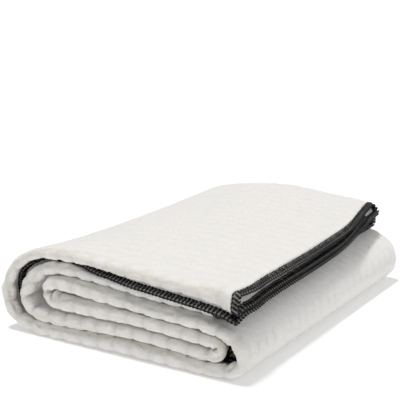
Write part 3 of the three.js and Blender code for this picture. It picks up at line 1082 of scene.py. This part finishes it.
@dataclass
class WaffleCloth:
    """The towel's one panel, as a sheet with two faces and a rim under the overlocking.

    Attributes:
        folded: The map into the pile.
        weave: The relief on both faces.
        finish: What it is made of.
        steps: Fine steps along and across.
        edge: How far in from the towel's outline the panel ends.
        fold_reach: How far either side of a fold the panel is cut fine.
        end_reach: How far from the free end neither face counts as hidden.
        inner_share: How much of the relief the inner face has.
        hem_reach: How far from the rim the stitches press the relief flat.
        hem_sunk: How far they press the cloth in at the rim.
    """

    folded: FoldedTowel
    weave: WaffleWeave = WaffleWeave()
    finish: MicrofiberFinish = MicrofiberFinish()
    steps: tuple[int, int] = (1184, 784)
    edge: float = 4.1
    fold_reach: float = 9.0
    end_reach: float = 22.0
    inner_share: float = 0.4
    hem_reach: float = 4.0
    hem_sunk: float = 0.1

    def build(self) -> bpy.types.Object:
        """Make the sheet.

        Returns:
            The mesh object, dressed.
        """
        towel = self.folded.towel
        grid = GradedGrid(self.steps)
        along = np.linspace(self.edge, towel.length - self.edge, self.steps[0] + 1)
        across = np.linspace(self.edge, towel.width - self.edge, self.steps[1] + 1)
        outer_steps, inner_steps = self._fineness(along, across, grid.block)
        used = [grid.used_points(outer_steps), grid.used_points(inner_steps)]
        border = tuple(np.array(grid.border()).T)
        shared = used[0][border] | used[1][border]
        used[0][border] = used[1][border] = shared

        raised = self._raised(along, across)
        near_hem = self._near_hem(along, across)
        wide = np.broadcast_to(across, raised.shape)
        # Share of the relief, from 0 in a crease to 1 on a pillow, which the finish turns into painted
        # crease shade.
        depth = np.clip(1 + raised / self.weave.height, 0, 1)
        raised = raised + self.weave.proud + self.weave.tufts(raised.shape)
        points, faces, heights, numbers = [], [], [], []
        for face, (side, steps) in enumerate(((1, outer_steps), (-1, inner_steps))):
            share = 1.0 if side == 1 else self.inner_share
            thickness = towel.thickness / 2 + mix(share * raised, -self.hem_sunk, near_hem)
            places = self.folded.place(along, wide, side * thickness)
            number = np.full(raised.shape, -1)
            number[used[face]] = np.arange(used[face].sum()) + sum(len(p) for p in points)
            rings = grid.cells(steps, used[face], number)
            faces += rings if side == -1 else [ring[::-1] for ring in rings]
            points.append(places[used[face]])
            heights.append(depth[used[face]])
            numbers.append(number)
        ring = [p for p in grid.border() if used[0][p]]
        for a, b in zip(ring, ring[1:] + ring[:1]):
            faces.append((int(numbers[0][a]), int(numbers[0][b]), int(numbers[1][b]), int(numbers[1][a])))
        made = mesh_object("waffle_sheet", np.concatenate(points), faces, self.finish.material())
        # The relief is kept on the points for the finish's painted crease shade.
        attribute = made.data.attributes.new("relief", "FLOAT", "POINT")
        attribute.data.foreach_set("value", np.concatenate(heights).astype(np.float32))
        return made

    def _fineness(
        self, along: np.ndarray, across: np.ndarray, block: int
    ) -> tuple[np.ndarray, np.ndarray]:
        """How finely each block is cut.

        Args:
            along: Distances from the free end.
            across: Distances across the towel.
            block: Fine steps in a block.

        Returns:
            The fine steps that a cell spans in each block, for the outer and the inner face.
        """
        path = self.folded.path
        middle_u = 0.5 * (along[:-1:block] + along[block::block])
        middle_v = 0.5 * (across[:-1:block] + across[block::block])
        _, _, measure = self.folded.fold.sections(path.at(middle_u))
        front = measure[:, self.folded.fold.front_tip, None]
        back = measure[:, self.folded.fold.back_tip, None]
        v = middle_v[None, :]
        reach = self.fold_reach
        at_front = np.abs(v - front) < reach
        at_back = np.abs(v - back) < reach
        outer_ply = (v > front - reach) & (v < back + reach)
        u = middle_u[:, None] + 0 * v
        near_end = u < self.end_reach
        outer = np.full(u.shape, int(CellSpan.HIDDEN))
        outer[outer_ply & path.shown(u, Sight.UNDERSIDE)] = CellSpan.HALF_HIDDEN
        outer[(outer_ply & path.shown(u, Sight.OUTER_PLY)) | at_back] = CellSpan.SEEN
        outer[near_end] = np.minimum(outer[near_end], CellSpan.HALF_HIDDEN)
        outer[at_front] = CellSpan.FRONT_FOLD
        inner = np.full(u.shape, int(CellSpan.HIDDEN))
        inner[near_end | at_front | at_back] = CellSpan.HALF_HIDDEN
        return outer, inner

    def _near_hem(self, along: np.ndarray, across: np.ndarray) -> np.ndarray:
        """How much the stitches at the rim press the panel flat.

        Args:
            along: Distances from the free end.
            across: Distances across the towel.

        Returns:
            One at the rim and zero well inside, a row for each distance along.
        """
        towel = self.folded.towel
        to_end = np.minimum(along, towel.length - along)[:, None]
        to_side = np.minimum(across, towel.width - across)[None, :]
        return 1 - smooth_between(np.minimum(to_end, to_side), self.edge, self.edge + self.hem_reach)

    def _raised(self, along: np.ndarray, across: np.ndarray) -> np.ndarray:
        """The weave's height on the outer face, from zero on a pillow down to its creases.

        Args:
            along: Distances from the free end.
            across: Distances across the towel.

        Returns:
            The heights in millimetres, a row for each distance along.
        """
        weave, fold = self.weave, self.folded.fold
        relief = weave.relief(along[:, None], across[None, :])
        strain = self.folded.strain(along, across)
        pressed = np.clip(-strain, 0, weave.most_pressed)
        _, _, measure = fold.sections(self.folded.path.at(along))
        from_front = np.abs(across[None, :] - measure[:, fold.front_tip, None])
        at_fold = 1 - smooth_between(from_front, 0.5 * self.fold_reach, self.fold_reach)
        depth = weave.height * (mix(weave.calm, 1.0, at_fold) + weave.crease_gain * pressed)
        pocket = weave.pocket + weave.pocket_gain * np.clip(strain, 0, weave.most_stretched)
        pockets = pocket * weave.pockets(along[:, None], across[None, :])
        return weave.bulge_gain * pressed * relief - depth * (1 - relief) - pockets


@dataclass(frozen=True)
class Outline:
    """Points once round the flat towel, each with its row of (along, across) inwards."""

    along: np.ndarray
    across: np.ndarray
    inward: np.ndarray


@dataclass
class OverlockedEdge:
    """Black thread overlocked round the towel's four edges, over the edge that it presses flat.

    The thread is drawn thicker than a real one of about 0.3 mm, and its stitches longer than real
    ones of 1.5 to 2 mm, so that single stitches show.

    Attributes:
        folded: The map into the pile.
        finish: The thread.
        core_finish: The edge under it, painted grey as shade.
        pitch: Distance from one stitch to the next.
        thread: Thread radius where it wraps the edge.
        core_half: Half the thickness of the pressed edge.
        path_step: Distance between two points of the edge's path.
        sway: How far a stitch turns out of line, in degrees.
        unevenness: By what share a stitch may be smaller than the next.
    """

    folded: FoldedTowel
    finish: ThreadFinish = ThreadFinish()
    core_finish: ThreadFinish = PressedEdgeFinish()
    pitch: float = 2.4
    thread: float = 0.74
    core_half: float = 0.56
    path_step: float = 1.5
    sway: float = 5.0
    unevenness: float = 0.08

    def build(self) -> list[bpy.types.Object]:
        """Make the core and both kinds of stitch.

        Returns:
            The dressed pieces, core first.
        """
        material = self.finish.material()
        outline = self._outline()
        core = self._core(outline)
        path = self._path(outline)
        wraps = self._stitches("overlock_wraps", path, self._wrap(), material, seed=3)
        chain = self._stitches("overlock_chain", path, self._chain(), material, seed=5)
        bpy.data.objects.remove(path)
        return [core, wraps, chain]

    def _outline(self) -> Outline:
        """Go once round the flat towel in even steps, with a point on each corner.

        Returns:
            The points.
        """
        length, width = self.folded.towel.length, self.folded.towel.width
        us, vs = (np.linspace(0, size, round(size / self.path_step) + 1)[1:-1] for size in (length, width))
        rows = [
            (0.0, 0.0, 1, 1), *((u, 0.0, 0, 1) for u in us),
            (length, 0.0, -1, 1), *((length, v, -1, 0) for v in vs),
            (length, width, -1, -1), *((u, width, 0, -1) for u in us[::-1]),
            (0.0, width, 1, -1), *((0.0, v, 1, 0) for v in vs[::-1]),
        ]
        table = np.array(rows, float)
        return Outline(table[:, 0], table[:, 1], table[:, 2:])

    def _rings(self, outline: Outline, profile: np.ndarray) -> np.ndarray:
        """Lay a flat profile at each point of the outline.

        Args:
            outline: The towel's outline.
            profile: Rows of (distance inwards, distance outwards from the middle of the cloth).

        Returns:
            The places, as outline points, profile points and x, y, z.
        """
        laid = []
        for inwards, outwards in profile:
            u = outline.along + outline.inward[:, 0] * inwards
            v = outline.across + outline.inward[:, 1] * inwards
            laid.append(self.folded.place(u, v[:, None], np.full((len(u), 1), outwards))[:, 0])
        return np.stack(laid, axis=1)

    def _core(self, outline: Outline) -> bpy.types.Object:
        """Make the pressed edge under the stitches, a closed ring with a rounded profile.

        Args:
            outline: The towel's outline.

        Returns:
            The ring, dressed.
        """
        width, half = self.folded.towel.band_width, self.core_half
        angles = np.radians([0, 40, 80])
        outer = [(half * (1 - math.cos(a)), half * math.sin(a)) for a in angles]
        inner = [(width - 0.5 * half * (1 - math.cos(a)), half * math.sin(a)) for a in angles[::-1]]
        upper = outer + inner
        profile = np.array(upper + [(y, -z) for y, z in upper[-2:0:-1]])
        rings = self._rings(outline, profile)
        count, size = rings.shape[:2]
        faces = []
        for i in range(count):
            for j in range(size):
                a, b = i * size + j, i * size + (j + 1) % size
                c, d = ((i + 1) % count) * size + (j + 1) % size, ((i + 1) % count) * size + j
                faces.append((a, b, c, d))
        return mesh_object("overlock_core", rings.reshape(-1, 3), faces, self.core_finish.material())

    def _path(self, outline: Outline) -> bpy.types.Object:
        """Lay the edge's line through the pile.

        Args:
            outline: The towel's outline.

        Returns:
            The line, whose points carry the way inwards and the way that the cloth faces.
        """
        # The edge itself, a place further in, and one over that on the outer face
        rings = self._rings(outline, np.array([(0.0, 0.0), (2.0, 0.0), (2.0, 1.0)]))
        line = rings[:, 0]
        inwards = rings[:, 1] - rings[:, 0]
        face = rings[:, 2] - rings[:, 1]
        mesh = bpy.data.meshes.new("overlock_path")
        count = len(line)
        mesh.from_pydata((line * MM).tolist(), [(i, (i + 1) % count) for i in range(count)], [])
        for name, vectors in (("inwards", inwards), ("face", face)):
            vectors = vectors / np.linalg.norm(vectors, axis=1, keepdims=True)
            attribute = mesh.attributes.new(name, "FLOAT_VECTOR", "POINT")
            attribute.data.foreach_set("vector", vectors.ravel().astype(np.float32))
        made = bpy.data.objects.new("overlock_path", mesh)
        bpy.context.scene.collection.objects.link(made)
        return made

    def _tube(self, line: np.ndarray, radii: np.ndarray, sides: int) -> tuple[np.ndarray, list]:
        """A closed tube along a short line.

        Args:
            line: Rows of x along the edge, y inwards and z out of the cloth.
            radii: The tube's radius at each row.
            sides: How many sides it has.

        Returns:
            Its points and its faces.
        """
        tangents = np.gradient(line, axis=0)
        tangents /= np.linalg.norm(tangents, axis=1, keepdims=True)
        first = np.cross(tangents, (0.0, 0.0, 1.0))
        # Where the line runs nearly along z, the cross product is too short to use
        weak = np.linalg.norm(first, axis=1) < 0.3
        first[weak] = np.cross(tangents[weak], (1.0, 0.0, 0.0))
        first /= np.linalg.norm(first, axis=1, keepdims=True)
        second = np.cross(tangents, first)
        turn = np.linspace(0, 2 * math.pi, sides, endpoint=False)
        around = first[:, None] * np.cos(turn)[None, :, None] + second[:, None] * np.sin(turn)[None, :, None]
        points = (line[:, None] + around * radii[:, None, None]).reshape(-1, 3)
        faces = []
        for start in range(0, (len(line) - 1) * sides, sides):
            for j, k in zip(range(sides), [*range(1, sides), 0]):
                faces.append((start + j, start + sides + j, start + sides + k, start + k))
        faces.append(tuple(range(sides)))
        faces.append(tuple(range(len(line) * sides - 1, (len(line) - 1) * sides - 1, -1)))
        return points, faces

    def _wrap(self) -> bpy.types.Object:
        """Make one looper thread that wraps the edge, slanting from one needle hole to the next.

        Returns:
            The stitch at the origin: x along the edge, y inwards, z out of the cloth.
        """
        width, high = self.folded.towel.band_width + 0.1, self.core_half - 0.1
        slant = 0.28 * self.pitch
        # From the needle hole on the outer face, round the edge, to the next one on the inner face
        line = np.array([
            (slant, width - 0.2, high - 0.8), (0.8 * slant, width - 0.8, high),
            (0.35 * slant, 0.5 * width, high + 0.15), (0.0, 0.5, high), (0.0, 0.1, 0.0),
            (0.0, 0.5, -high), (-0.35 * slant, 0.5 * width, -high - 0.15),
            (-0.8 * slant, width - 0.8, -high), (-slant, width - 0.2, -high + 0.8),
        ])
        radii = self.thread * np.array([0.6, 0.9, 1.15, 1.05, 0.9, 1.05, 1.15, 0.9, 0.6])
        points, faces = self._tube(line, radii, 6)
        return mesh_object("one_wrap", points, faces, None)

    def _chain(self) -> bpy.types.Object:
        """Make the needle thread's loop on each face, and the knot of the two loopers on the edge.

        Returns:
            The three as one stitch, placed as a wrap is.
        """
        width, high = self.folded.towel.band_width + 0.1, self.core_half + 0.3
        half = 0.5 * self.pitch
        parts = []
        for side in (1, -1):
            loop = np.array([(-half, width, side * (high - 0.5)), (0.0, width - 0.1, side * high),
                             (half, width, side * (high - 0.5))])
            parts.append(self._tube(loop, 0.5 * self.thread * np.array([0.8, 1.2, 0.8]), 5))
        knot = np.array([(-half, -0.35, 0.35), (0.0, -0.75, 0.0), (half, -0.35, -0.35)])
        parts.append(self._tube(knot, 0.55 * self.thread * np.array([0.8, 1.3, 0.8]), 5))
        points, faces, start = [], [], 0
        for part_points, part_faces in parts:
            points.append(part_points)
            faces += [tuple(start + k for k in face) for face in part_faces]
            start += len(part_points)
        return mesh_object("one_chain_link", np.concatenate(points), faces, None)

    def _stitches(
        self,
        name: str,
        path: bpy.types.Object,
        stitch: bpy.types.Object,
        material: bpy.types.Material,
        seed: int,
    ) -> bpy.types.Object:
        """Lay one stitch after another along the edge, with a small unevenness.

        Args:
            name: Name of the finished piece.
            path: The edge's line, with its directions.
            stitch: One stitch at the origin, which is used up.
            material: The thread.
            seed: Starts the unevenness.

        Returns:
            The stitches as one plain mesh.
        """
        tree = bpy.data.node_groups.new(name + "_rule", "GeometryNodeTree")
        face = tree.interface
        sway = math.radians(self.sway)
        sizes = {
            "Stitch pitch": self.pitch * MM, "Least turn": -sway, "Most turn": sway,
            "Least size": 1 - self.unevenness, "Seed": seed,
        }
        face.new_socket("Geometry", in_out="INPUT", socket_type="NodeSocketGeometry")
        sockets = {
            label: face.new_socket(
                label, in_out="INPUT", socket_type=f"NodeSocket{type(value).__name__.capitalize()}"
            )
            for label, value in sizes.items()
        }
        face.new_socket("Geometry", in_out="OUTPUT", socket_type="NodeSocketGeometry")
        given = add_node(tree, "NodeGroupInput").outputs
        curve = add_node(tree, "GeometryNodeMeshToCurve", links={"Mesh": given["Geometry"]})
        even = add_node(
            tree, "GeometryNodeResampleCurve", {"mode": "LENGTH"},
            links={"Curve": curve.outputs["Curve"], "Length": given["Stitch pitch"]},
        )
        inwards, outwards = (
            add_node(tree, "GeometryNodeInputNamedAttribute", {"data_type": "FLOAT_VECTOR"}, {"Name": name})
            for name in ("inwards", "face")
        )
        facing = add_node(
            tree, "FunctionNodeAxesToRotation", {"primary_axis": "Y", "secondary_axis": "Z"},
            links={0: inwards.outputs["Attribute"], 1: outwards.outputs["Attribute"]},
        )
        shape = add_node(tree, "GeometryNodeObjectInfo", values={"Object": stitch})
        placed = add_node(
            tree, "GeometryNodeInstanceOnPoints",
            links={"Points": even.outputs["Curve"], "Instance": shape.outputs["Geometry"],
                   "Rotation": facing.outputs["Rotation"]},
        )
        turn = add_node(
            tree, "FunctionNodeRandomValue", {"data_type": "FLOAT"},
            links={2: given["Least turn"], 3: given["Most turn"], "Seed": given["Seed"]},
        )
        axis_turn = add_node(tree, "ShaderNodeCombineXYZ", links={"Z": turn.outputs[1]})
        swayed = add_node(
            tree, "GeometryNodeRotateInstances",
            links={"Instances": placed.outputs["Instances"], "Rotation": axis_turn.outputs["Vector"]},
        )
        size = add_node(
            tree, "FunctionNodeRandomValue", {"data_type": "FLOAT"}, {3: 1.0},
            links={2: given["Least size"], "Seed": given["Seed"]},
        )
        scaled = add_node(
            tree, "GeometryNodeScaleInstances",
            links={"Instances": swayed.outputs["Instances"], "Scale": size.outputs[1]},
        )
        real = add_node(tree, "GeometryNodeRealizeInstances", links={0: scaled.outputs["Instances"]})
        dressed = add_node(
            tree, "GeometryNodeSetMaterial", values={"Material": material},
            links={"Geometry": real.outputs["Geometry"]},
        )
        add_node(tree, "NodeGroupOutput", links={0: dressed.outputs["Geometry"]})
        rule = path.modifiers.new(name, "NODES")
        rule.node_group = tree
        for label, value in sizes.items():
            rule[sockets[label].identifier] = value
        evaluated = path.evaluated_get(bpy.context.evaluated_depsgraph_get())
        mesh = bpy.data.meshes.new_from_object(evaluated)
        mesh.name = name
        path.modifiers.remove(rule)
        bpy.data.objects.remove(stitch)
        bpy.data.node_groups.remove(tree)
        mesh.polygons.foreach_set("use_smooth", np.ones(len(mesh.polygons), bool))
        made = bpy.data.objects.new(name, mesh)
        bpy.context.scene.collection.objects.link(made)
        return made


@dataclass(frozen=True)
class Viewpoint:
    """Where the photograph was taken from, worked out from the pile's edges in it.

    Attributes:
        frame_pixels: Width and height of the picture.
        focal_pixels: Focal length in the picture's pixels.
        pitch: How far the camera looks down, in degrees.
        turn: How far the front edge is turned away from the picture's plane, in degrees.
        corner_pixel: Where the pile's front right corner on the table is seen.
        corner_place: The same corner on the table.
        corner_distance: How far it lies from the camera, along the line of sight.
        sensor: Width of the sensor.
        nearest: The nearest distance that it sees, in metres.
    """

    frame_pixels: float = 400.0
    focal_pixels: float = 1178.0
    pitch: float = 14.9
    turn: float = 31.7
    corner_pixel: tuple[float, float] = (238.0, 378.0)
    corner_place: tuple[float, float, float] = (75.4, -96.075, 0.0)
    corner_distance: float = 635.3
    sensor: float = 36.0
    nearest: float = 0.01

    def build(self) -> bpy.types.Object:
        """Make the camera.

        Returns:
            The camera object, which the scene then uses.
        """
        pitch, turn = math.radians(self.pitch), math.radians(self.turn)
        right = Vector((math.cos(turn), math.sin(turn), 0.0))
        level = Vector((-math.sin(turn), math.cos(turn), 0.0))
        ahead = level * math.cos(pitch) - Vector((0.0, 0.0, math.sin(pitch)))
        up = right.cross(ahead)
        middle = self.frame_pixels / 2
        to_corner = ahead + right * ((self.corner_pixel[0] - middle) / self.focal_pixels)
        to_corner = to_corner - up * ((self.corner_pixel[1] - middle) / self.focal_pixels)
        place = Vector(self.corner_place) - to_corner * self.corner_distance
        lens = bpy.data.cameras.new("camera")
        lens.sensor_width = self.sensor
        lens.lens = self.sensor * self.focal_pixels / self.frame_pixels
        lens.clip_start = self.nearest
        made = bpy.data.objects.new("camera", lens)
        bpy.context.scene.collection.objects.link(made)
        turned = Matrix((right, up, -ahead)).transposed().to_4x4()
        made.matrix_world = Matrix.Translation(place * MM) @ turned
        bpy.context.scene.camera = made
        return made


@dataclass(frozen=True)
class SoftLight:
    """A broad light from far away: the way it shines, how wide it looks, its strength, its colour."""

    name: str
    shines: tuple[float, float, float]
    width: float
    strength: float
    colour: str

    def build(self) -> bpy.types.Object:
        """Make the light.

        Returns:
            The light, linked to the scene.
        """
        lamp = bpy.data.lights.new(self.name, "SUN")
        lamp.angle = math.radians(self.width)
        lamp.energy = self.strength
        lamp.color = linear_colour(self.colour)[:3]
        made = bpy.data.objects.new(self.name, lamp)
        bpy.context.scene.collection.objects.link(made)
        made.rotation_euler = Vector(self.shines).to_track_quat("-Z", "Y").to_euler()
        return made


@dataclass
class Studio:
    """A plain white table, lit from below as well, under soft light.

    Attributes:
        floor_colour: The table's colour.
        floor_roughness: How matt it is.
        floor_glow: How much it shines by itself, which keeps shadows on it pale.
        floor_size: Its width in metres.
        sky_colour: Colour of the even light from all round.
        sky_strength: Its brightness.
        lights: The broad lights.
    """

    floor_colour: str = "#E9E9E9"
    floor_roughness: float = 0.9
    floor_glow: float = 0.22
    floor_size: float = 6.0
    sky_colour: str = "#FAFCFF"
    sky_strength: float = 0.45
    lights: tuple[SoftLight, ...] = (
        SoftLight("key_light", (0.16, 0.0, -1.0), 9.0, 1.85, "#FFFCF8"),
        SoftLight("side_light", (-0.8, 0.04, -0.6), 50.0, 0.35, "#FFFFFF"),
    )

    def build(self) -> None:
        """Make the table, the sky and the lights."""
        half = self.floor_size / 2 / MM
        corners = np.array([(-half, -half, 0), (half, -half, 0), (half, half, 0), (-half, half, 0)], float)
        floor = mesh_object("table_top", corners, [(0, 1, 2, 3)], self._floor_material())
        world = bpy.data.worlds.new("even_light")
        world.use_nodes = True
        sky = world.node_tree.nodes["Background"].inputs
        sky["Color"].default_value = linear_colour(self.sky_colour)
        sky["Strength"].default_value = self.sky_strength
        bpy.context.scene.world = world
        bpy.context.scene.view_settings.view_transform = "Standard"
        for light in self.lights:
            light.build()

    def _floor_material(self) -> bpy.types.Material:
        """Build the finish of the table: matt white paper, which gives the eye nothing but shadow.

        Returns:
            The material.
        """
        made = bpy.data.materials.new("table_paper")
        made.use_nodes = True
        surface = made.node_tree.nodes["Principled BSDF"]
        surface.inputs["Base Color"].default_value = linear_colour(self.floor_colour)
        surface.inputs["Roughness"].default_value = self.floor_roughness
        surface.inputs["Emission Color"].default_value = (1.0, 1.0, 1.0, 1.0)
        surface.inputs["Emission Strength"].default_value = self.floor_glow
        return made


def main() -> None:
    """Build the towel, dress it and set it in its light."""
    logging.basicConfig(level=logging.INFO, format="%(name)s: %(message)s")
    Viewpoint().build()
    folded = FoldedTowel()
    cloth = WaffleCloth(folded).build()
    log.info("cloth: %d points, %d faces", len(cloth.data.vertices), len(cloth.data.polygons))
    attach(cloth, "root")
    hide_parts("waffle_cloth")
    edging = OverlockedEdge(folded).build()
    for piece in edging:
        log.info("%s: %d faces", piece.name, len(piece.data.polygons))
        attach(piece, "root")
    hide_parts("overlocked_band")
    Studio().build()


if __name__ == "__main__":
    main()
